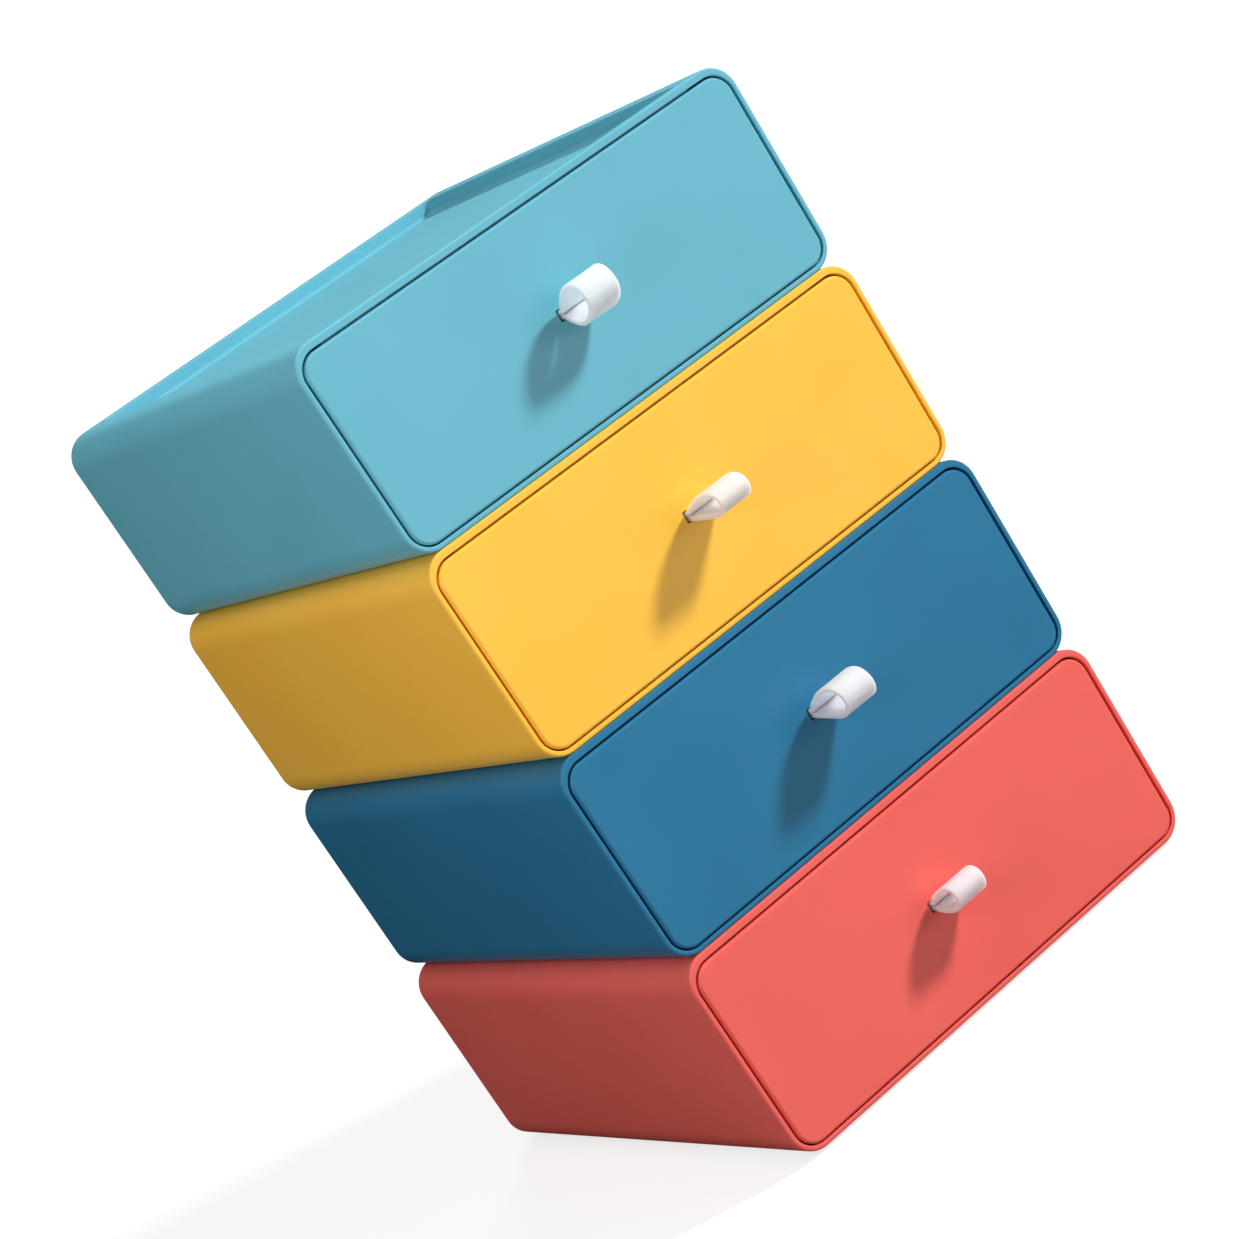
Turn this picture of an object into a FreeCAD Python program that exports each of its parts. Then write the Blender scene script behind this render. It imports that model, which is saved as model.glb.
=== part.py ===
import FreeCAD, Part
import math
import os

# A stack of four desktop drawer units, in millimetres.
# +X is to the right, the drawers open towards -Y, and +Z is up.
# The origin is on the surface that the stack stands on, under the middle of its outline,
# pull loops included. The functions below draw one unit with its underside at zero height
# and the middle of its housing at zero depth, and the last lines move it to its place.

# The stack, from the lowest unit up
unit_names = ("red", "blue", "yellow", "aqua")
unit_width = 180.0
unit_depth = 198.0
unit_pitch = 72.5
side_draft = 1.5

# Housing
corner_radius = 9.5
shell_wall = 1.8
floor_wall = 1.7
top_lip = 2.6
front_edge_round = 0.8
opening_edge_round = 0.4
back_edge_round = 3.0

# Tray in the top of the housing
tray_depth = 5.0
tray_floor = 1.8
tray_wall = 1.6
tray_side_rim = 16.0
tray_back_rim = 8.0
tray_corner_radius = 3.0
tray_floor_round = 1.5
tray_edge_round = 0.5

# Locating frame and pads under the housing
frame_height = 0.6
frame_width = 3.0
frame_clearance = 1.2
pad_thickness = 1.0
pad_radius = 6.0
pad_setback = 5.0
pad_edge_round = 0.3

# Runners and stop inside the housing
runner_spacing = 110.0
runner_width = 4.0
runner_height = 0.8
runner_setback = 6.0
stop_width = 20.0
stop_height = 1.2
stop_thickness = 3.0
stop_setback = 47.0

# Drawer front
front_side_gap = 0.9
front_top_gap = 0.7
front_foot_gap = 0.5
front_stand_out = 0.4
front_thickness = 3.0
front_back_clearance = 1.0
front_face_round = 1.0

# Drawer tray behind its front
slide_clearance = 0.15
side_clearance = 1.0
top_clearance = 1.7
back_clearance = 2.2
drawer_wall = 1.6
drawer_back_corner_radius = 5.0
drawer_brim_round = 0.5
stop_tab_width = 18.0
stop_tab_height = 1.2

# Slot for the pull loop
slot_height_on_unit = 35.8
slot_end_clearance = 0.9
slot_face_clearance = 0.55
slot_edge_round = 0.4

# Pull loop: a strap that leaves the slot, turns round a round nose and comes back
strap_width = 12.0
strap_thickness = 1.4
strap_fold_gap = 0.1
strap_seat_gap = 0.05
strap_leg_height = 7.0
nose_radius = {"red": 4.3, "blue": 5.6, "yellow": 4.4, "aqua": 6.3}
nose_reach = {"red": 17.3, "blue": 23.6, "yellow": 22.9, "aqua": 19.7}
nose_lift = {"red": 2.4, "blue": 2.1, "yellow": 2.0, "aqua": 2.3}

# Clamp that holds the strap's ends, with its two screws
clamp_thickness = 1.6
clamp_height = 15.0
clamp_end_margin = 0.6
clamp_corner_radius = 2.0
boss_radius = 3.0
boss_slot_margin = 0.3
screw_radius = 1.2
screw_clearance = 0.05
screw_engagement = 2.8
screw_tip_gap = 0.3
screw_head_radius = 2.3
screw_head_height = 1.5
screw_head_round = 0.6
screw_recess_radius = 0.9
screw_recess_depth = 0.9

# How far cutting shapes run past the faces that they cut
overrun = 2.0

# How near an edge lies to a place, and a direction to an axis, to count as on it
place_tolerance = 0.0001
direction_tolerance = 0.000001

# Places that follow from the sizes above
front_y = -unit_depth / 2
back_y = unit_depth / 2
panel_face_y = front_y - front_stand_out
panel_back_y = panel_face_y + front_thickness
pocket_back_y = panel_back_y + front_back_clearance
inner_back_y = back_y - shell_wall
drawer_front_inner_y = panel_back_y + drawer_wall
drawer_end_y = inner_back_y - back_clearance
tray_half_width = unit_width / 2 - tray_side_rim
tray_front_y = pocket_back_y + tray_wall
tray_back_y = back_y - tray_back_rim
tray_floor_height = unit_pitch - tray_depth
pan_underside = tray_floor_height - tray_floor
drawer_bottom = floor_wall + runner_height + slide_clearance
drawer_top = pan_underside - top_clearance
strap_half_slot = strap_thickness + strap_fold_gap / 2
slot_half_width = strap_width / 2 + slot_end_clearance
slot_half_height = strap_half_slot + slot_face_clearance
strap_leg_front_y = drawer_front_inner_y + strap_seat_gap
strap_leg_back_y = strap_leg_front_y + strap_thickness
boss_end_y = strap_leg_back_y + strap_seat_gap
screw_x = slot_half_width + boss_slot_margin + boss_radius
clamp_half_width = screw_x + boss_radius + clamp_end_margin
outline_front_y = panel_face_y - max(nose_reach.values())
outline_middle_y = (outline_front_y + back_y) / 2

X = FreeCAD.Vector(1, 0, 0)
Y = FreeCAD.Vector(0, 1, 0)
Z = FreeCAD.Vector(0, 0, 1)


def half_width(height):
    """Half the outer width of a unit at a height above its underside."""
    return unit_width / 2 - side_draft * (1 - height / unit_pitch)


def along(edge, axis):
    """True if an edge is straight and runs along an axis."""
    if not isinstance(edge.Curve, Part.Line):
        return False
    return abs(abs(edge.Curve.Direction.dot(axis)) - 1) < direction_tolerance


def upright(edge):
    """True if an edge is straight and rises more than it runs sideways."""
    return isinstance(edge.Curve, Part.Line) and edge.BoundBox.ZLength > edge.BoundBox.XLength


def flat_at(edge, axis, place):
    """True if an edge lies wholly at one place along an axis."""
    return all(abs(point.dot(axis) - place) < place_tolerance for point in edge.discretize(3))


def rounded(shape, edges, radius):
    """The shape with some of its edges rounded."""
    return shape.makeFillet(radius, edges)


def block(x_low, x_high, y_low, y_high, z_low, z_high):
    """A box between two corners."""
    corner = FreeCAD.Vector(x_low, y_low, z_low)
    return Part.makeBox(x_high - x_low, y_high - y_low, z_high - z_low, corner)


def leaning_block(inset, y_low, y_high, z_low, z_high):
    """A block whose two sides follow the lean of the unit's sides, set in from them."""
    low = half_width(z_low) - inset
    high = half_width(z_high) - inset
    corners = ((-low, z_low), (low, z_low), (high, z_high), (-high, z_high))
    points = [FreeCAD.Vector(x, y_low, z) for x, z in corners]
    face = Part.Face(Part.makePolygon(points + points[:1]))
    return face.extrude(FreeCAD.Vector(0, y_high - y_low, 0))


def sleeve_block(inset, y_low, y_high, z_low, z_high, radius):
    """A leaning block with its four long edges rounded."""
    shape = leaning_block(inset, y_low, y_high, z_low, z_high)
    return rounded(shape, [e for e in shape.Edges if along(e, Y)], radius)


def housing_shell():
    """The outside of a housing: rounded at its long edges, its front rim and its back."""
    shape = sleeve_block(0, front_y, back_y, 0, unit_pitch, corner_radius)
    front_edges = [e for e in shape.Edges if flat_at(e, Y, front_y)]
    shape = rounded(shape, front_edges, front_edge_round)
    back_edges = [e for e in shape.Edges if flat_at(e, Y, back_y)]
    return rounded(shape, back_edges, back_edge_round)


def housing_cavity():
    """The room for the drawer, open at the front."""
    return sleeve_block(
        shell_wall,
        front_y - overrun,
        inner_back_y,
        floor_wall,
        unit_pitch - top_lip,
        corner_radius - shell_wall,
    )


def tray_pan():
    """The block that hangs into the cavity and carries the tray in the top."""
    return block(
        -tray_half_width - tray_wall,
        tray_half_width + tray_wall,
        pocket_back_y,
        tray_back_y + tray_wall,
        pan_underside,
        unit_pitch - top_lip,
    )


def tray_recess():
    """The hollow of the tray, with round corners and a soft foot."""
    shape = block(
        -tray_half_width,
        tray_half_width,
        tray_front_y,
        tray_back_y,
        tray_floor_height,
        unit_pitch + overrun,
    )
    shape = rounded(shape, [e for e in shape.Edges if along(e, Z)], tray_corner_radius)
    foot = [e for e in shape.Edges if flat_at(e, Z, tray_floor_height)]
    return rounded(shape, foot, tray_floor_round)


def locating_frame():
    """The low frame under a housing that drops into the tray of the unit below."""
    half = tray_half_width - frame_clearance
    front = tray_front_y + frame_clearance
    back = tray_back_y - frame_clearance
    outside = block(-half, half, front, back, -frame_height, 0)
    corners = [e for e in outside.Edges if along(e, Z)]
    outside = rounded(outside, corners, tray_corner_radius - frame_clearance)
    inside = block(
        -half + frame_width,
        half - frame_width,
        front + frame_width,
        back - frame_width,
        -frame_height - overrun,
        overrun,
    )
    return outside.cut(inside)


def runners():
    """Two low ribs on the floor of the housing that the drawer slides on."""
    ribs = []
    for side in (-1, 1):
        middle = side * runner_spacing / 2
        ribs.append(
            block(
                middle - runner_width / 2,
                middle + runner_width / 2,
                pocket_back_y + runner_setback,
                inner_back_y - runner_setback,
                floor_wall,
                floor_wall + runner_height,
            )
        )
    return ribs


def drawer_stop():
    """A short rib under the tray that the tab at the back of the drawer meets."""
    return block(
        -stop_width / 2,
        stop_width / 2,
        front_y + stop_setback,
        front_y + stop_setback + stop_thickness,
        pan_underside - stop_height,
        pan_underside,
    )


def is_tray_edge(edge):
    """True for the edges round the top of the tray."""
    box = edge.BoundBox
    reach = tray_half_width + tray_edge_round
    return box.XMax < reach and box.XMin > -reach and box.YMin > tray_front_y - tray_edge_round


def is_mouth_edge(edge):
    """True for the edges of the front opening, inside the rim's outer edge."""
    middle = edge.discretize(3)[1]
    lowest = floor_wall - opening_edge_round
    highest = unit_pitch - top_lip + opening_edge_round
    widest = half_width(middle.z) - shell_wall + opening_edge_round
    return abs(middle.x) < widest and lowest < middle.z < highest


def housing():
    """One housing: shell, tray, runners, stop and locating frame in one moulding."""
    shape = housing_shell().cut(housing_cavity())
    shape = shape.fuse([tray_pan(), drawer_stop(), locating_frame()] + runners())
    shape = shape.cut(tray_recess()).removeSplitter()
    rim = [e for e in shape.Edges if flat_at(e, Z, unit_pitch) and is_tray_edge(e)]
    shape = rounded(shape, rim, tray_edge_round)
    mouth = [e for e in shape.Edges if flat_at(e, Y, front_y) and is_mouth_edge(e)]
    return rounded(shape, mouth, opening_edge_round)


def drawer_front():
    """The front of a drawer in the housing's mouth, with soft edges round its face."""
    shape = sleeve_block(
        shell_wall + front_side_gap,
        panel_face_y,
        panel_back_y,
        floor_wall + front_foot_gap,
        unit_pitch - top_lip - front_top_gap,
        corner_radius - shell_wall - front_side_gap,
    )
    face_edges = [e for e in shape.Edges if flat_at(e, Y, panel_face_y)]
    return rounded(shape, face_edges, front_face_round)


def round_footed_block(inset, y_low, y_high, z_low, z_high, foot_radius, back_radius):
    """A leaning block with a round foot along its sides and round corners at its back."""
    shape = leaning_block(inset, y_low, y_high, z_low, z_high)
    foot = [e for e in shape.Edges if along(e, Y) and flat_at(e, Z, z_low)]
    shape = rounded(shape, foot, foot_radius)
    back_corners = [e for e in shape.Edges if flat_at(e, Y, y_high) and upright(e)]
    return rounded(shape, back_corners, back_radius)


def drawer_box():
    """The open tray behind the drawer's front, with a soft brim."""
    inset = shell_wall + side_clearance
    foot_radius = corner_radius - inset
    outside = round_footed_block(
        inset,
        panel_back_y,
        drawer_end_y,
        drawer_bottom,
        drawer_top,
        foot_radius,
        drawer_back_corner_radius,
    )
    inside = round_footed_block(
        inset + drawer_wall,
        drawer_front_inner_y,
        drawer_end_y - drawer_wall,
        drawer_bottom + drawer_wall,
        drawer_top + overrun,
        foot_radius - drawer_wall,
        drawer_back_corner_radius - drawer_wall,
    )
    shape = outside.cut(inside)
    top_edges = [e for e in shape.Edges if flat_at(e, Z, drawer_top)]
    brim = [e for e in top_edges if not flat_at(e, Y, panel_back_y)]
    return rounded(shape, brim, drawer_brim_round)


def stop_tab():
    """The tab on the drawer's back wall that meets the stop under the housing's tray."""
    return block(
        -stop_tab_width / 2,
        stop_tab_width / 2,
        drawer_end_y - drawer_wall,
        drawer_end_y,
        drawer_top - drawer_wall,
        drawer_top + stop_tab_height,
    )


def pull_slot():
    """The slot through the drawer's front for the strap."""
    shape = block(
        -slot_half_width,
        slot_half_width,
        panel_face_y - overrun,
        drawer_front_inner_y + overrun,
        slot_height_on_unit - slot_half_height,
        slot_height_on_unit + slot_half_height,
    )
    return rounded(shape, [e for e in shape.Edges if along(e, Y)], slot_edge_round)


def screw_post(radius, y_low, y_high, x):
    """A round post or hole along Y, at the height of the clamp's screws."""
    return Part.makeCylinder(
        radius, y_high - y_low, FreeCAD.Vector(x, y_low, slot_height_on_unit), Y
    )


def screw_posts(radius, y_low, y_high):
    """A pair of posts or holes at the places of the clamp's screws."""
    return [screw_post(radius, y_low, y_high, x) for x in (-screw_x, screw_x)]


def drawer():
    """One drawer: front, tray, slot, stop tab and the two bosses for the clamp."""
    bosses = screw_posts(boss_radius, drawer_front_inner_y - drawer_wall / 2, boss_end_y)
    hole_end_y = boss_end_y - screw_engagement - screw_tip_gap
    holes = screw_posts(screw_radius + screw_clearance, hole_end_y, boss_end_y + overrun)
    shape = drawer_front().fuse([drawer_box(), stop_tab()] + bosses)
    return shape.cut([pull_slot()] + holes).removeSplitter()


def teardrop(half_opening, radius, reach, lift):
    """A face in the YZ plane: two straight limbs from the slot, tangent to a round nose."""
    centre = FreeCAD.Vector(0, -(reach - radius), lift)
    starts = (FreeCAD.Vector(0, 0, half_opening), FreeCAD.Vector(0, 0, -half_opening))
    touches = []
    for start, side in zip(starts, (1, -1)):
        line = centre - start
        turn = math.asin(radius / line.Length)
        heading = math.atan2(line.z, -line.y) + side * turn
        length = math.sqrt(line.Length**2 - radius**2)
        step = FreeCAD.Vector(0, -math.cos(heading), math.sin(heading)) * length
        touches.append(start + step)
    nose = centre + FreeCAD.Vector(0, -radius, 0)
    edges = [
        Part.LineSegment(starts[0], touches[0]).toShape(),
        Part.Arc(touches[0], nose, touches[1]).toShape(),
        Part.LineSegment(touches[1], starts[1]).toShape(),
        Part.LineSegment(starts[1], starts[0]).toShape(),
    ]
    return Part.Face(Part.Wire(edges))


def strap_piece(y_low, y_high, z_a, z_b):
    """A straight stretch of strap, as wide as the strap."""
    return block(
        -strap_width / 2, strap_width / 2, y_low, y_high, min(z_a, z_b), max(z_a, z_b)
    )


def pull_loop(name):
    """The strap of one drawer: its loop, its two limbs in the slot and its two legs inside."""
    radius = nose_radius[name]
    reach = nose_reach[name]
    lift = nose_lift[name]
    outer = teardrop(strap_half_slot, radius, reach, lift)
    inner = teardrop(
        strap_fold_gap / 2, radius - strap_thickness, reach - strap_thickness, lift
    )
    loop = outer.cut(inner).extrude(FreeCAD.Vector(strap_width, 0, 0))
    loop.translate(FreeCAD.Vector(-strap_width / 2, panel_face_y, slot_height_on_unit))
    pieces = []
    for side in (-1, 1):
        near = slot_height_on_unit + side * strap_fold_gap / 2
        far = slot_height_on_unit + side * strap_half_slot
        tip = slot_height_on_unit + side * strap_leg_height
        pieces.append(strap_piece(panel_face_y, strap_leg_back_y, near, far))
        pieces.append(strap_piece(strap_leg_front_y, strap_leg_back_y, near, tip))
    return loop.fuse(pieces).removeSplitter()


def strap_clamp():
    """The bar that presses the strap's legs against the drawer's front."""
    clamp_end_y = boss_end_y + clamp_thickness
    shape = block(
        -clamp_half_width,
        clamp_half_width,
        boss_end_y,
        clamp_end_y,
        slot_height_on_unit - clamp_height / 2,
        slot_height_on_unit + clamp_height / 2,
    )
    shape = rounded(shape, [e for e in shape.Edges if along(e, Y)], clamp_corner_radius)
    hole_radius = screw_radius + screw_clearance
    return shape.cut(screw_posts(hole_radius, boss_end_y - overrun, clamp_end_y + overrun))


def clamp_screws():
    """The two screws of a clamp, as separate solids."""
    head_y = boss_end_y + clamp_thickness
    crown_y = head_y + screw_head_height
    recess_y = crown_y - screw_recess_depth
    screws = []
    for x in (-screw_x, screw_x):
        shank = screw_post(screw_radius, boss_end_y - screw_engagement, crown_y, x)
        shank = shank.cut(screw_post(screw_radius + overrun, recess_y, crown_y + overrun, x))
        head = screw_post(screw_head_radius, head_y, crown_y, x)
        head = rounded(head, [e for e in head.Edges if flat_at(e, Y, crown_y)], screw_head_round)
        head = head.cut(screw_post(screw_recess_radius, recess_y, crown_y + overrun, x))
        screws.append(shank.fuse(head).removeSplitter())
    return Part.makeCompound(screws)


def base_pads():
    """Four round pads under a housing, inside the locating frame."""
    margin = frame_clearance + frame_width + pad_setback + pad_radius
    x_place = tray_half_width - margin
    y_place = tray_back_y - margin
    pads = []
    for x in (-x_place, x_place):
        for y in (-y_place, y_place):
            pad = Part.makeCylinder(pad_radius, pad_thickness, FreeCAD.Vector(x, y, -pad_thickness))
            foot = [e for e in pad.Edges if flat_at(e, Z, -pad_thickness)]
            pads.append(rounded(pad, foot, pad_edge_round))
    return Part.makeCompound(pads)


def unit_pieces(name):
    """Every piece of one unit by its node's name."""
    return {
        "housing_" + name: housing(),
        "base_pads_" + name: base_pads(),
        "drawer_" + name: drawer(),
        "pull_loop_" + name: pull_loop(name),
        "strap_clamp_" + name: strap_clamp(),
        "clamp_screws_" + name: clamp_screws(),
    }


os.makedirs("parts", exist_ok=True)
for level, unit_name in enumerate(unit_names):
    place = FreeCAD.Vector(0, -outline_middle_y, pad_thickness + level * unit_pitch)
    for node, piece in unit_pieces(unit_name).items():
        piece.translate(place)
        if not piece.isValid():
            print("not valid:", node)
        piece.exportStep("parts/" + node + ".step")
        print(node, len(piece.Solids), round(piece.Volume))
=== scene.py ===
import bmesh
import bpy
import math
from mathutils import Euler, Matrix, Vector


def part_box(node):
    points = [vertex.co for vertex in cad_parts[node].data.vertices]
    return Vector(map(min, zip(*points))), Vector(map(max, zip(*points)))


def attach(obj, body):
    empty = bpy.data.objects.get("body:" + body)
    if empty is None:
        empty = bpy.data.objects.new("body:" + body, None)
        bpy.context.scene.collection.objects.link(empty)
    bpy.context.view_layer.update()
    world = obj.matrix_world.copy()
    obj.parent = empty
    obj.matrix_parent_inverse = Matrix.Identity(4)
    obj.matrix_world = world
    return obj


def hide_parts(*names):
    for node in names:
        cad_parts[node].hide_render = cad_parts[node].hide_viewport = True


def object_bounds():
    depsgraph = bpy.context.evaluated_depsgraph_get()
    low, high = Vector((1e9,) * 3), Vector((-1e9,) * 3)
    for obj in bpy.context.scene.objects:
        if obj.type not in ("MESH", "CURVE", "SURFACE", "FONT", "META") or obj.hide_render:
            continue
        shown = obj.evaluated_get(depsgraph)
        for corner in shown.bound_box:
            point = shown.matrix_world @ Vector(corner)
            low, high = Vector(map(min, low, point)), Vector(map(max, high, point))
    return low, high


# A stack of four desktop drawer units, each with a white pull loop on its drawer's front.
# Everything is in metres, in the CAD frame: +X right, the drawers open towards -Y, +Z up.
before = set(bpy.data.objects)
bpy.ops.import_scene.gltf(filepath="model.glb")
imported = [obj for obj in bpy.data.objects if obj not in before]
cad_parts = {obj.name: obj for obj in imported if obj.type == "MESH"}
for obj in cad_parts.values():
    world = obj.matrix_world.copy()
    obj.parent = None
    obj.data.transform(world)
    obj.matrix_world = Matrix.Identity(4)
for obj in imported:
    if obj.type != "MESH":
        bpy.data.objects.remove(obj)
cad_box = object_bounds()

MM = 0.001
UNITS = ("red", "blue", "yellow", "aqua")

# Two places this near count as one
SNUG = 0.01 * MM
# A face looks squarely in a direction when its normal has this share of it
SQUARELY = 0.999
# A face whose normal has less than this share of an axis is a side along that axis
SIDEWAYS = 0.5
# Edges that bend less than this are shaded smooth
SMOOTH_BELOW = math.radians(35)

# The strap of the pull loops, in millimetres
STRAP_WIDTH = 12.0
STRAP_THICKNESS = 1.4
STRAP_SMOOTHING = 4
STRAP_EDGE_ROUND = 0.45
STRAP_EDGE_STEPS = 4
STRAP_EDGE_ANGLE = math.radians(60)
SLOT_ABOVE_PANEL_FOOT = 33.6

# The clamp screws, in millimetres: pan heads with a cross recess
SCREW_SIDES = 48
SHANK_RADIUS = 1.2
SHANK_LENGTH = 3.8
POINT_LENGTH = 0.6
POINT_SHARE = 0.55
HEAD_RADIUS = 2.3
HEAD_HEIGHT = 1.5
HEAD_DOME = 0.8
HEAD_DOME_STEPS = 8
CROSS_SPAN = 2.4
CROSS_ARM_WIDTH = 0.55
CROSS_DEPTH = 0.9
CROSS_FOOT_SHARE = 0.6

# The strap clamps, in millimetres
CLAMP_CORNER = 2.0
CLAMP_CORNER_STEPS = 8
CLAMP_EDGE_ROUND = 0.35
CLAMP_EDGE_STEPS = 4
CLAMP_HOLLOW_HALF = 6.8
CLAMP_HOLLOW_RIM = 1.0
CLAMP_HOLLOW_DEPTH = 0.4

# The rubber pads, in millimetres
PAD_SIDES = 64
PAD_RADIUS = 6.0
PAD_FOOT_ROUND = 0.3
PAD_FOOT_STEPS = 4
PAD_RIM = 1.3
PAD_CUP_DEPTH = 0.35
PAD_CUP_ROUND = 0.15
PAD_CUP_STEPS = 3

# The sizes of the patterns in the finishes, in millimetres. The spark-eroded grain is
# really about 0.05 mm, too fine to show, so it is drawn as coarse as it needs to show.
MELT_DRIFT = 45
GLOSS_SPECKLE = 1.2
SPARK_GRAIN = 0.35
LEATHER_GRAIN = 0.6
LEATHER_CLOUD = 6
RUBBER_DUST = 2.5
ZINC_BLOOM = 0.8

# Each loop's middle line, from its upper leg to its lower one, in millimetres: how far it
# is in front of the drawer's face, and how high above the slot's middle. A smooth line is
# drawn through them, so they lie a little outside the strap. The legs behind the face are
# the same on all, and the lower one mirrors the upper one.
UPPER_LEG = (
    (-5.35, 7.0), (-5.35, 4.0), (-5.35, 0.85), (-3.5, 0.71), (-1.0, 0.71), (0.4, 0.71), (1.2, 0.8),
)
LOOPS = {
    "red": (
        (2.2, 2.45), (5.2, 3.85), (8.8, 5.35), (12.0, 6.2), (14.5, 6.0), (16.3, 4.9),
        (16.7, 3.45), (16.55, 1.8), (15.3, -0.1), (13.1, -1.35), (10.0, -2.05), (6.5, -1.95),
        (3.25, -1.6), (2.1, -1.2),
    ),
    "blue": (
        (2.2, 2.15), (5.2, 3.85), (9.0, 5.8), (11.5, 6.9), (15.0, 7.5), (18.6, 7.4),
        (21.25, 6.2), (22.8, 4.05), (22.9, 2.3), (22.5, 0.95), (21.1, -0.8), (18.1, -2.1),
        (14.7, -2.3), (10.1, -1.8), (5.3, -1.25), (2.0, -1.0),
    ),
    "yellow": (
        (2.05, 1.7), (6.85, 3.5), (10.85, 5.0), (15.45, 5.5), (18.75, 5.4), (21.5, 4.15),
        (22.3, 2.45), (22.0, 0.9), (20.35, -1.1), (17.9, -1.95), (14.15, -2.0), (9.65, -1.7),
        (4.6, -1.4), (2.2, -1.1),
    ),
    "aqua": (
        (2.55, 2.25), (5.3, 4.8), (8.65, 6.8), (12.65, 7.9), (16.05, 7.25), (17.85, 6.0),
        (18.85, 4.2), (19.2, 2.15), (19.05, 0.4), (17.35, -1.95), (14.4, -3.9), (10.85, -5.1),
        (7.8, -4.6), (3.95, -3.05), (2.15, -1.55),
    ),
}


def linear(code):
    """The linear colour of an sRGB hex value."""
    channels = [int(code[i:i + 2], 16) / 255 for i in (1, 3, 5)]
    light = [c / 12.92 if c <= 0.04045 else ((c + 0.055) / 1.055) ** 2.4 for c in channels]
    return (*light, 1.0)


def add_node(tree, kind, values=None, links=None, **settings):
    """Adds a node to a tree, with values for its sockets, links into them, and its settings."""
    node = tree.nodes.new(kind)
    for name, setting in settings.items():
        setattr(node, name, setting)
    for socket, value in (values or {}).items():
        node.inputs[socket].default_value = value
    for socket, source in (links or {}).items():
        tree.links.new(source, node.inputs[socket])
    return node


def new_material(name):
    """A new material and its tree, which is empty."""
    material = bpy.data.materials.new(name)
    material.use_nodes = True
    material.node_tree.nodes.clear()
    return material, material.node_tree


def per_metre(size):
    """The scale of a pattern whose features are that many millimetres across."""
    return 1 / (size * MM)


def moulded_abs(name, base, deep):
    """ABS, injection moulded in a finely spark-eroded mould.

    The mould leaves a satin skin with a very fine even grain. The flow of the melt leaves
    broad, faint drifts in its gloss and in the depth of its colour.
    """
    material, tree = new_material(name)
    place = add_node(tree, "ShaderNodeTexCoord").outputs["Object"]
    drift = add_node(
        tree,
        "ShaderNodeTexNoise",
        {"Scale": per_metre(MELT_DRIFT), "Detail": 2.0},
        {"Vector": place},
    )
    speckle = add_node(
        tree,
        "ShaderNodeTexNoise",
        {"Scale": per_metre(GLOSS_SPECKLE), "Detail": 3.0},
        {"Vector": place},
    )
    grain = add_node(
        tree,
        "ShaderNodeTexNoise",
        {"Scale": per_metre(SPARK_GRAIN), "Detail": 2.0},
        {"Vector": place},
    )
    blend = add_node(
        tree,
        "ShaderNodeMapRange",
        {"From Min": 0.3, "From Max": 0.7, "To Min": 0.0, "To Max": 1.0},
        {"Value": drift.outputs["Fac"]},
    )
    tone = add_node(
        tree,
        "ShaderNodeMix",
        {"A": linear(base), "B": linear(deep)},
        {"Factor": blend.outputs["Result"]},
        data_type="RGBA",
    )
    gloss = add_node(
        tree,
        "ShaderNodeMapRange",
        {"From Min": 0.3, "From Max": 0.7, "To Min": 0.44, "To Max": 0.52},
        {"Value": speckle.outputs["Fac"]},
    )
    bump = add_node(
        tree,
        "ShaderNodeBump",
        {"Strength": 0.25, "Distance": 0.03 * MM},
        {"Height": grain.outputs["Fac"]},
    )
    skin = add_node(
        tree,
        "ShaderNodeBsdfPrincipled",
        {"IOR": 1.54},
        {
            "Base Color": tone.outputs["Result"],
            "Roughness": gloss.outputs["Result"],
            "Normal": bump.outputs["Normal"],
        },
    )
    add_node(tree, "ShaderNodeOutputMaterial", links={"Surface": skin.outputs["BSDF"]})
    return material


def coated_leatherette(name):
    """White leatherette: a coated strap, cut to width and rolled at its edges.

    The coating is smooth and soft, with a fine leather grain, and takes a broad weak shine.
    Light goes deep into it, so that the shaded inside of a loop glows white.
    """
    material, tree = new_material(name)
    place = add_node(tree, "ShaderNodeTexCoord").outputs["Object"]
    grain = add_node(
        tree,
        "ShaderNodeTexVoronoi",
        {"Scale": per_metre(LEATHER_GRAIN)},
        {"Vector": place},
        feature="SMOOTH_F1",
    )
    cloud = add_node(
        tree,
        "ShaderNodeTexNoise",
        {"Scale": per_metre(LEATHER_CLOUD), "Detail": 2.0},
        {"Vector": place},
    )
    tone = add_node(
        tree,
        "ShaderNodeMix",
        {"A": linear("#F1F2F8"), "B": linear("#EEEFF6")},
        {"Factor": cloud.outputs["Fac"]},
        data_type="RGBA",
    )
    bump = add_node(
        tree,
        "ShaderNodeBump",
        {"Strength": 0.2, "Distance": 0.04 * MM},
        {"Height": grain.outputs["Distance"]},
    )
    skin = add_node(
        tree,
        "ShaderNodeBsdfPrincipled",
        {
            "IOR": 1.5,
            "Roughness": 0.5,
            "Subsurface Weight": 1.0,
            "Subsurface Radius": (1.0, 1.0, 1.0),
            "Subsurface Scale": 8 * MM,
        },
        {"Base Color": tone.outputs["Result"], "Normal": bump.outputs["Normal"]},
    )
    add_node(tree, "ShaderNodeOutputMaterial", links={"Surface": skin.outputs["BSDF"]})
    return material


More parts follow.
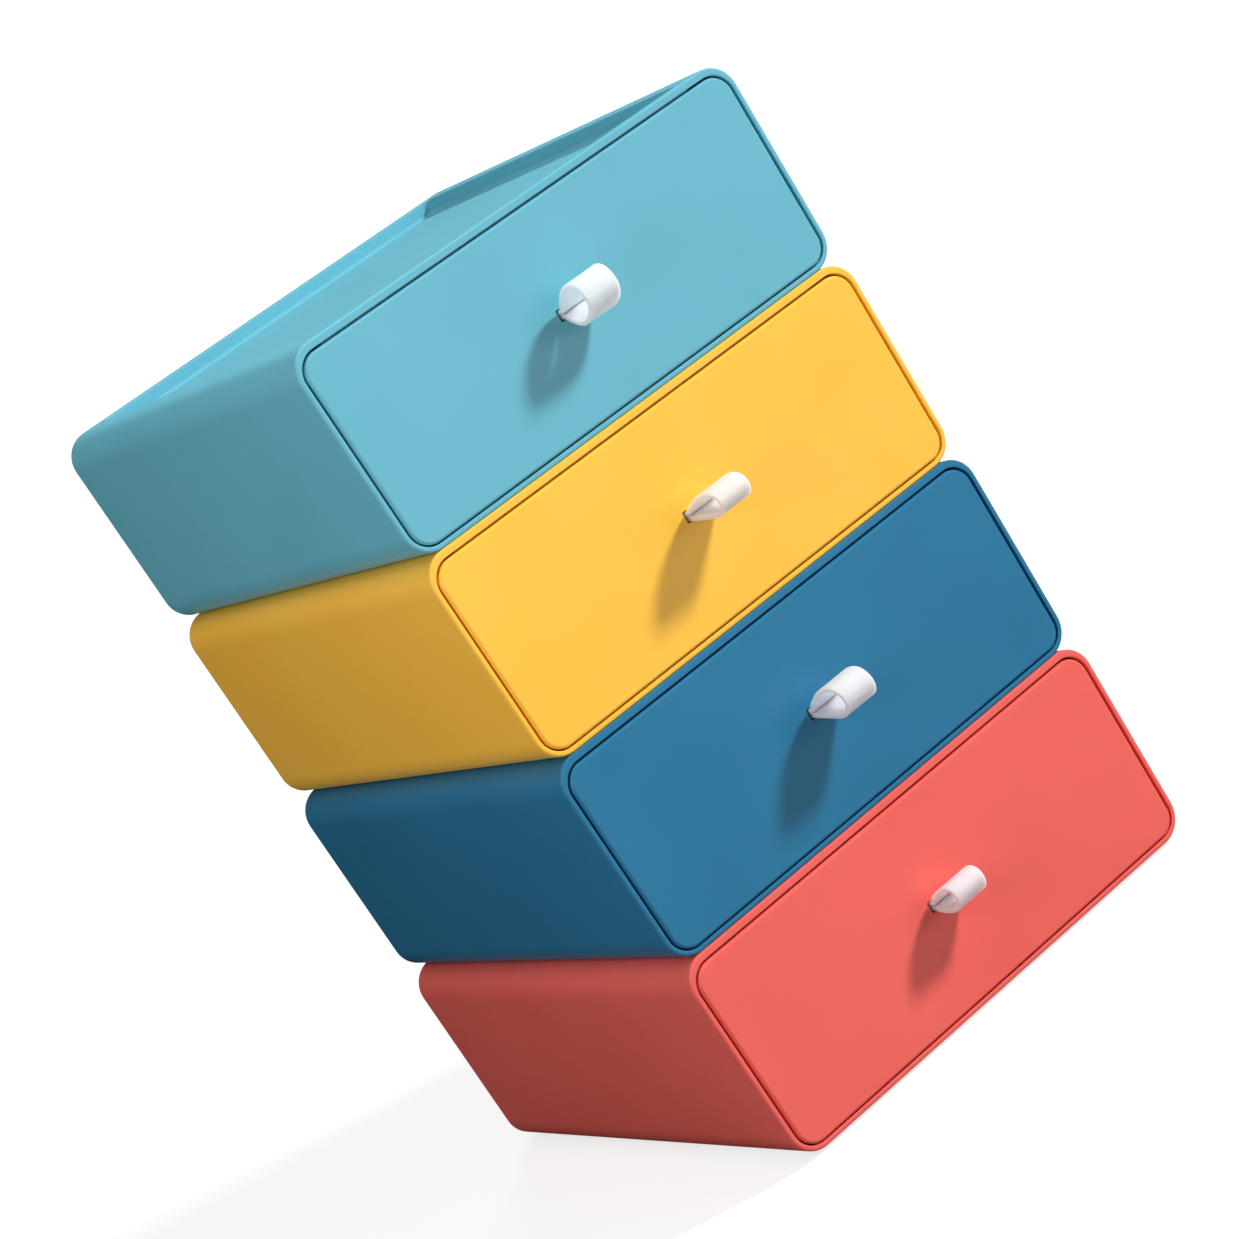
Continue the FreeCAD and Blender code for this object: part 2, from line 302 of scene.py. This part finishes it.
def moulded_rubber(name):
    """Black rubber, compression moulded: matt, with a dusty, faintly uneven surface."""
    material, tree = new_material(name)
    place = add_node(tree, "ShaderNodeTexCoord").outputs["Object"]
    dust = add_node(
        tree,
        "ShaderNodeTexNoise",
        {"Scale": per_metre(RUBBER_DUST), "Detail": 4.0},
        {"Vector": place},
    )
    tone = add_node(
        tree,
        "ShaderNodeMix",
        {"A": linear("#1B1B1C"), "B": linear("#2C2C2D")},
        {"Factor": dust.outputs["Fac"]},
        data_type="RGBA",
    )
    bump = add_node(
        tree,
        "ShaderNodeBump",
        {"Strength": 0.3, "Distance": 0.05 * MM},
        {"Height": dust.outputs["Fac"]},
    )
    skin = add_node(
        tree,
        "ShaderNodeBsdfPrincipled",
        {"IOR": 1.52, "Roughness": 0.8},
        {"Base Color": tone.outputs["Result"], "Normal": bump.outputs["Normal"]},
    )
    add_node(tree, "ShaderNodeOutputMaterial", links={"Surface": skin.outputs["BSDF"]})
    return material


def zinc_steel(name):
    """Steel screws, cold headed and zinc plated: a bright, slightly milky metal."""
    material, tree = new_material(name)
    place = add_node(tree, "ShaderNodeTexCoord").outputs["Object"]
    plating = add_node(
        tree,
        "ShaderNodeTexNoise",
        {"Scale": per_metre(ZINC_BLOOM), "Detail": 3.0},
        {"Vector": place},
    )
    gloss = add_node(
        tree,
        "ShaderNodeMapRange",
        {"To Min": 0.22, "To Max": 0.38},
        {"Value": plating.outputs["Fac"]},
    )
    skin = add_node(
        tree,
        "ShaderNodeBsdfPrincipled",
        {"Base Color": linear("#C9CBCD"), "Metallic": 1.0},
        {"Roughness": gloss.outputs["Result"]},
    )
    add_node(tree, "ShaderNodeOutputMaterial", links={"Surface": skin.outputs["BSDF"]})
    return material


def select_nothing():
    """Deselects everything, so that an operator acts only on what comes next."""
    bpy.ops.object.select_all(action="DESELECT")


def select_only(piece):
    """Selects one piece and makes it the active one."""
    select_nothing()
    piece.select_set(True)
    bpy.context.view_layer.objects.active = piece


def open_piece(piece):
    """Opens a piece alone in edit mode."""
    select_only(piece)
    bpy.ops.object.mode_set(mode="EDIT")


def close_piece():
    """Leaves edit mode."""
    bpy.ops.object.mode_set(mode="OBJECT")


def settle():
    """Applies the selected piece's place, turn and size to its mesh."""
    bpy.ops.object.transform_apply(location=True, rotation=True, scale=True)


def pick(piece, kind, wanted):
    """In edit mode, selects only the edges or faces that pass a test."""
    bpy.ops.mesh.select_mode(type={"edges": "EDGE", "faces": "FACE"}[kind])
    bpy.ops.mesh.select_all(action="DESELECT")
    mesh = bmesh.from_edit_mesh(piece.data)
    for part in getattr(mesh, kind):
        if wanted(part):
            part.select_set(True)
    bmesh.update_edit_mesh(piece.data)


def pick_facing(piece, direction):
    """In edit mode, selects the flat faces that look in a direction."""
    pick(piece, "faces", lambda f: f.normal.dot(Vector(direction)) > SQUARELY)


def pull_out(move):
    """In edit mode, extrudes the selected edge or face by a move."""
    bpy.ops.mesh.extrude_region_move(TRANSFORM_OT_translate={"value": move})


def rim_edge(edge, height, axis):
    """True for an edge round the flat end at a height, where the end meets a side."""
    at_end = all(abs(v.co[axis] - height) < SNUG for v in edge.verts)
    leans = [abs(f.normal[axis]) for f in edge.link_faces]
    return at_end and min(leans) < SIDEWAYS


def shape_with(piece, kind, **settings):
    """Adds a modifier to a piece and applies it."""
    modifier = piece.modifiers.new(kind.title(), kind)
    for name, setting in settings.items():
        setattr(modifier, name, setting)
    bpy.context.view_layer.objects.active = piece
    bpy.ops.object.modifier_apply(modifier=modifier.name)


def copy_to(piece, move):
    """A copy of a piece, with a mesh of its own, moved to its place."""
    select_only(piece)
    bpy.ops.object.duplicate(linked=False)
    bpy.ops.transform.translate(value=move)
    settle()
    return bpy.context.object


def finish_piece(piece, name, material, body, node):
    """Names a piece, gives it its material, and has it stand for its CAD node."""
    piece.name = name
    piece.data.name = name
    piece.data.materials.clear()
    piece.data.materials.append(material)
    select_only(piece)
    bpy.ops.object.shade_smooth_by_angle(angle=SMOOTH_BELOW)
    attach(piece, body)
    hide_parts(node)


def pull_loop(unit):
    """A strap that comes out of the slot, turns back on itself and goes in again."""
    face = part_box("drawer_" + unit)[0]
    slot = Vector((0, face.y, face.z + SLOT_ABOVE_PANEL_FOOT * MM))
    lower_leg = [(out, -up) for out, up in reversed(UPPER_LEG)]
    line = [*UPPER_LEG, *LOOPS[unit], *lower_leg]
    points = [slot + Vector((0, -out * MM, up * MM)) for out, up in line]
    start, bend = points[:2]
    select_nothing()
    bpy.ops.mesh.primitive_plane_add(
        size=1, location=(start + bend) / 2, rotation=(math.radians(90), 0, 0)
    )
    piece = bpy.context.object
    piece.scale = (STRAP_WIDTH * MM, (bend - start).length, 1)
    settle()
    open_piece(piece)
    pick(piece, "edges", lambda e: all(abs(v.co.z - bend.z) < SNUG for v in e.verts))
    for before, after in zip(points[1:], points[2:]):
        pull_out(after - before)
    close_piece()
    shape_with(piece, "SUBSURF", levels=STRAP_SMOOTHING, render_levels=STRAP_SMOOTHING)
    shape_with(
        piece, "SOLIDIFY", thickness=STRAP_THICKNESS * MM, offset=0, use_even_offset=True
    )
    shape_with(
        piece,
        "BEVEL",
        width=STRAP_EDGE_ROUND * MM,
        segments=STRAP_EDGE_STEPS,
        limit_method="ANGLE",
        angle_limit=STRAP_EDGE_ANGLE,
    )
    return piece


def cross_punch(head_top):
    """The tapered cross that a screw head's recess is punched with."""
    select_nothing()
    bpy.ops.mesh.primitive_cube_add(size=1, location=head_top)
    punch = bpy.context.object
    punch.scale = (CROSS_ARM_WIDTH * MM, 2 * CROSS_DEPTH * MM, CROSS_ARM_WIDTH * MM)
    settle()
    arm = (CROSS_SPAN - CROSS_ARM_WIDTH) / 2 * MM
    open_piece(punch)
    for direction in ((1, 0, 0), (-1, 0, 0), (0, 0, 1), (0, 0, -1)):
        pick_facing(punch, direction)
        pull_out(Vector(direction) * arm)
    pick_facing(punch, (0, -1, 0))
    taper = (CROSS_FOOT_SHARE, 1, CROSS_FOOT_SHARE)
    bpy.ops.transform.resize(value=taper, center_override=head_top)
    close_piece()
    return punch


def clamp_screw(head_foot):
    """A pan head on a short pointed shank, whose recess looks into the drawer."""
    select_nothing()
    bpy.ops.mesh.primitive_cylinder_add(
        vertices=SCREW_SIDES,
        radius=SHANK_RADIUS * MM,
        depth=SHANK_LENGTH * MM,
        location=head_foot - Vector((0, SHANK_LENGTH / 2 * MM, 0)),
        rotation=(math.radians(-90), 0, 0),
    )
    piece = bpy.context.object
    settle()
    open_piece(piece)
    pick_facing(piece, (0, 1, 0))
    pull_out((0, 0, 0))
    wider = HEAD_RADIUS / SHANK_RADIUS
    bpy.ops.transform.resize(value=(wider, 1, wider), center_override=head_foot)
    pull_out((0, HEAD_HEIGHT * MM, 0))
    head_top = head_foot + Vector((0, HEAD_HEIGHT * MM, 0))
    pick(piece, "edges", lambda e: all(v.co.y > head_top.y - SNUG for v in e.verts))
    bpy.ops.mesh.bevel(offset=HEAD_DOME * MM, segments=HEAD_DOME_STEPS)
    shank_middle = head_foot.y - SHANK_LENGTH / 2 * MM
    pick(
        piece,
        "faces",
        lambda f: f.normal.y < -SQUARELY and f.calc_center_median().y < shank_middle,
    )
    pull_out((0, -POINT_LENGTH * MM, 0))
    bpy.ops.transform.resize(value=(POINT_SHARE, 1, POINT_SHARE), center_override=head_foot)
    close_piece()
    punch = cross_punch(head_top)
    shape_with(piece, "BOOLEAN", operation="DIFFERENCE", solver="EXACT", object=punch)
    bpy.data.objects.remove(punch)
    return piece


def strap_clamp(node):
    """The moulded plate that holds the strap's ends, hollowed between its screws."""
    low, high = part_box(node)
    select_nothing()
    bpy.ops.mesh.primitive_cube_add(size=1, location=(low + high) / 2)
    piece = bpy.context.object
    piece.scale = high - low
    settle()
    open_piece(piece)
    hollow = CLAMP_HOLLOW_HALF * MM
    for side in (-hollow, hollow):
        bpy.ops.mesh.select_all(action="SELECT")
        bpy.ops.mesh.bisect(plane_co=(side, 0, 0), plane_no=(1, 0, 0))

    def corner(edge):
        start, end = (v.co for v in edge.verts)
        return abs(start.y - end.y) > SNUG and abs(start.x) > high.x - SNUG

    pick(piece, "edges", corner)
    bpy.ops.mesh.bevel(offset=CLAMP_CORNER * MM, segments=CLAMP_CORNER_STEPS)
    pick(piece, "edges", lambda e: rim_edge(e, high.y, axis=1))
    bpy.ops.mesh.bevel(offset=CLAMP_EDGE_ROUND * MM, segments=CLAMP_EDGE_STEPS)
    pick(
        piece,
        "faces",
        lambda f: f.normal.y > SQUARELY and abs(f.calc_center_median().x) < hollow / 2,
    )
    bpy.ops.mesh.inset(thickness=CLAMP_HOLLOW_RIM * MM)
    pull_out((0, -CLAMP_HOLLOW_DEPTH * MM, 0))
    close_piece()
    return piece


def rubber_pad(middle, height):
    """A round pad with a soft rim and a shallow cup in its foot."""
    select_nothing()
    bpy.ops.mesh.primitive_cylinder_add(
        vertices=PAD_SIDES, radius=PAD_RADIUS * MM, depth=height, location=middle
    )
    piece = bpy.context.object
    settle()
    open_piece(piece)
    foot = middle.z - height / 2
    pick(piece, "edges", lambda e: rim_edge(e, foot, axis=2))
    bpy.ops.mesh.bevel(offset=PAD_FOOT_ROUND * MM, segments=PAD_FOOT_STEPS)
    pick_facing(piece, (0, 0, -1))
    bpy.ops.mesh.inset(thickness=PAD_RIM * MM)
    pull_out((0, 0, PAD_CUP_DEPTH * MM))
    cup_levels = (foot, foot + PAD_CUP_DEPTH * MM)
    pick(piece, "edges", lambda e: any(rim_edge(e, level, axis=2) for level in cup_levels))
    bpy.ops.mesh.bevel(offset=PAD_CUP_ROUND * MM, segments=PAD_CUP_STEPS)
    close_piece()
    return piece


plastics = {
    "red": moulded_abs("moulded_abs_red", "#F4685E", "#F0645A"),
    "blue": moulded_abs("moulded_abs_blue", "#25779F", "#21739B"),
    "yellow": moulded_abs("moulded_abs_yellow", "#FFC444", "#FFC03E"),
    "aqua": moulded_abs("moulded_abs_aqua", "#67B5C8", "#63B1C4"),
}
leatherette = coated_leatherette("white_leatherette")
rubber = moulded_rubber("moulded_rubber")
steel = zinc_steel("zinc_plated_steel")
natural_abs = moulded_abs("moulded_abs_white", "#D9D9D6", "#D4D4D1")

for unit in UNITS:
    for part in ("housing_", "drawer_"):
        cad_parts[part + unit].data.materials[0] = plastics[unit]
    finish_piece(
        pull_loop(unit),
        f"strap_{unit}",
        leatherette,
        f"{unit}_drawer",
        f"pull_loop_{unit}",
    )

# One screw, one clamp and one pad are modelled on the lowest unit, copied to every place,
# and then taken away.
lowest = UNITS[0]
screws_start, screws_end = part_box("clamp_screws_" + lowest)
screw_spacing = screws_end.x - screws_start.x - 2 * HEAD_RADIUS * MM
first_screw = clamp_screw(Vector((
    screws_start.x + HEAD_RADIUS * MM,
    screws_end.y - HEAD_HEIGHT * MM,
    (screws_start.z + screws_end.z) / 2,
)))
first_clamp = strap_clamp("strap_clamp_" + lowest)
pads_start, pads_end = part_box("base_pads_" + lowest)
pad_height = pads_end.z - pads_start.z
pad_half = Vector((PAD_RADIUS * MM, PAD_RADIUS * MM, pad_height / 2))
pad_spacing = pads_end - pads_start - 2 * pad_half
first_pad = rubber_pad(pads_start + pad_half, pad_height)

for unit in UNITS:
    drawer = f"{unit}_drawer"
    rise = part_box(f"clamp_screws_{unit}")[0] - screws_start
    for side, along in (("left", 0), ("right", screw_spacing)):
        screw = copy_to(first_screw, rise + Vector((along, 0, 0)))
        name = f"screw_{unit}_{side}"
        finish_piece(screw, name, steel, drawer, f"clamp_screws_{unit}")
    clamp = copy_to(first_clamp, rise)
    name = f"clamp_{unit}"
    finish_piece(clamp, name, natural_abs, drawer, f"strap_clamp_{unit}")
    pad_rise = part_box(f"base_pads_{unit}")[0] - pads_start
    for side, along_x in (("left", 0), ("right", pad_spacing.x)):
        for end, along_y in (("front", 0), ("back", pad_spacing.y)):
            pad = copy_to(first_pad, pad_rise + Vector((along_x, along_y, 0)))
            name = f"pad_{unit}_{side}_{end}"
            finish_piece(pad, name, rubber, f"{unit}_unit", f"base_pads_{unit}")

for pattern in (first_screw, first_clamp, first_pad):
    bpy.data.objects.remove(pattern)


# The floor, in metres and strengths: what it shows to the camera is lifted to white, less
# so near the stack, where it keeps the stack's soft shadow.
FLOOR_SIZE = 60.0
FADE_START = 0.3
FADE_END = 1.3
WHITE_NEAR_STACK = 0.74

# The share of white light that comes from all round
WORLD_LIGHT = 0.17

# Two dark flags, in metres: one stands all round the stack and one lies at its foot
FLAG_RADIUS = 1.1
FLAG_HEIGHT = 1.2
FLAG_LIFT = 0.0008
FLAG_SIDES = 96

# The camera, in metres, degrees and millimetres, at the photograph's angle. The photograph
# was turned on its side by a third of a right angle, so the camera is rolled.
CAMERA_PLACE = (-0.5177, -1.0561, 0.3775)
HEADING = 26.74
TILT = 9.87
ROLL = -32.31
SENSOR_WIDTH = 36
LENS = 106.59
FRAME_RISE = -0.064


def background_rays(tree):
    """1 for the rays that show the background, to the camera, in gloss and through glass."""
    light = add_node(tree, "ShaderNodeLightPath").outputs
    seen_or_glossy = add_node(
        tree,
        "ShaderNodeMath",
        links={0: light["Is Camera Ray"], 1: light["Is Glossy Ray"]},
        operation="MAXIMUM",
    )
    with_glass = add_node(
        tree,
        "ShaderNodeMath",
        links={0: seen_or_glossy.outputs[0], 1: light["Is Transmission Ray"]},
        operation="MAXIMUM",
    )
    return with_glass.outputs[0]


def pale_paper(name):
    """Pale matt paper: it has no shine, and glows white where the background is seen."""
    material, tree = new_material(name)
    matt = add_node(tree, "ShaderNodeBsdfDiffuse", {"Color": linear("#A0A0A0")})
    place = add_node(tree, "ShaderNodeTexCoord").outputs["Object"]
    distance = add_node(tree, "ShaderNodeVectorMath", links={0: place}, operation="LENGTH")
    fade = add_node(
        tree,
        "ShaderNodeMapRange",
        {
            "From Min": FADE_START,
            "From Max": FADE_END,
            "To Min": WHITE_NEAR_STACK,
            "To Max": 1.0,
        },
        {"Value": distance.outputs["Value"]},
        interpolation_type="SMOOTHSTEP",
    )
    lift = add_node(
        tree,
        "ShaderNodeMath",
        links={0: background_rays(tree), 1: fade.outputs["Result"]},
        operation="MULTIPLY",
    )
    glow = add_node(
        tree,
        "ShaderNodeEmission",
        {"Color": linear("#FFFFFF")},
        {"Strength": lift.outputs[0]},
    )
    both = add_node(tree, "ShaderNodeAddShader", links={0: matt.outputs[0], 1: glow.outputs[0]})
    add_node(tree, "ShaderNodeOutputMaterial", links={"Surface": both.outputs[0]})
    return material


def black_velvet(name):
    """Black velvet: a pile that swallows the light and has no shine."""
    material, tree = new_material(name)
    pile = add_node(tree, "ShaderNodeBsdfDiffuse", {"Color": linear("#101010")})
    add_node(tree, "ShaderNodeOutputMaterial", links={"Surface": pile.outputs[0]})
    return material


def white_room(name):
    """A world that is white to the camera and puts a low even light on the stack."""
    world = bpy.data.worlds.new(name)
    world.use_nodes = True
    tree = world.node_tree
    tree.nodes.clear()
    level = add_node(
        tree,
        "ShaderNodeMapRange",
        {"To Min": WORLD_LIGHT, "To Max": 1.0},
        {"Value": background_rays(tree)},
    )
    air = add_node(
        tree,
        "ShaderNodeBackground",
        {"Color": linear("#FFFFFF")},
        {"Strength": level.outputs["Result"]},
    )
    add_node(tree, "ShaderNodeOutputWorld", links={"Surface": air.outputs[0]})
    return world


def lamp(name, place, target, size, power, shines=True):
    """A round soft lamp that faces a point. The camera never sees it, and gloss may."""
    light = bpy.data.lights.new(name, "AREA")
    light.shape = "DISK"
    light.size = size
    light.energy = power
    holder = bpy.data.objects.new(name, light)
    bpy.context.scene.collection.objects.link(holder)
    holder.location = place
    holder.rotation_mode = "QUATERNION"
    holder.rotation_quaternion = (Vector(target) - Vector(place)).to_track_quat("-Z", "Y")
    holder.visible_camera = False
    holder.visible_glossy = shines


def hang_flag(name, flag, material):
    """Names a flag and hides it from everything but gloss."""
    flag.name = name
    flag.data.materials.append(material)
    flag.visible_camera = False
    flag.visible_diffuse = False
    flag.visible_transmission = False
    flag.visible_shadow = False


select_nothing()
bpy.ops.mesh.primitive_plane_add(size=FLOOR_SIZE)
floor = bpy.context.object
floor.name = "floor"
floor.data.materials.append(pale_paper("pale_paper"))
bpy.context.scene.world = white_room("white_room")

# The key lamp lights the fronts, the low one fills them from below, and the others shape
# the left side, the tray and the back. The glare of the key and the back lamp would whiten
# the tray, so gloss doesn't see these two.
stack_middle = (cad_box[0] + cad_box[1]) / 2
lamp("key", (1.3, -1.1, 1.24), stack_middle, 0.3, 42, shines=False)
lamp("left", (-0.38, -0.26, 0.28), (-0.09, 0.0, 0.15), 0.25, 0.6)
lamp("high_left", (-0.36, 0.13, 0.36), (-0.09, 0.08, 0.22), 0.2, 0.16)
lamp("low", (0.85, -1.65, 0.27), stack_middle, 0.9, 5.5)
lamp("top", (-0.12, -0.05, 0.66), (-0.04, 0.0, 0.29), 0.4, 0.7)
lamp("back", (0.7, 1.2, 1.0), stack_middle, 0.6, 7.0, shines=False)

# The flags keep the white room out of the plastic's sheen
velvet = black_velvet("black_velvet")
select_nothing()
bpy.ops.mesh.primitive_cylinder_add(
    vertices=FLAG_SIDES,
    radius=FLAG_RADIUS,
    depth=FLAG_HEIGHT,
    end_fill_type="NOTHING",
    location=(0, 0, FLAG_HEIGHT / 2),
)
hang_flag("standing_flag", bpy.context.object, velvet)
select_nothing()
bpy.ops.mesh.primitive_circle_add(
    vertices=FLAG_SIDES, radius=FLAG_RADIUS, fill_type="NGON", location=(0, 0, FLAG_LIFT)
)
hang_flag("floor_flag", bpy.context.object, velvet)

camera_data = bpy.data.cameras.new("camera")
camera_data.sensor_width = SENSOR_WIDTH
camera_data.lens = LENS
camera_data.shift_y = FRAME_RISE
camera = bpy.data.objects.new("camera", camera_data)
bpy.context.scene.collection.objects.link(camera)
turn = Euler((math.radians(90 - TILT), 0, math.radians(-HEADING))).to_matrix()
turn = turn @ Matrix.Rotation(math.radians(ROLL), 3, "Z")
camera.matrix_world = Matrix.Translation(CAMERA_PLACE) @ turn.to_4x4()
bpy.context.scene.camera = camera
bpy.context.scene.view_settings.view_transform = "Standard"
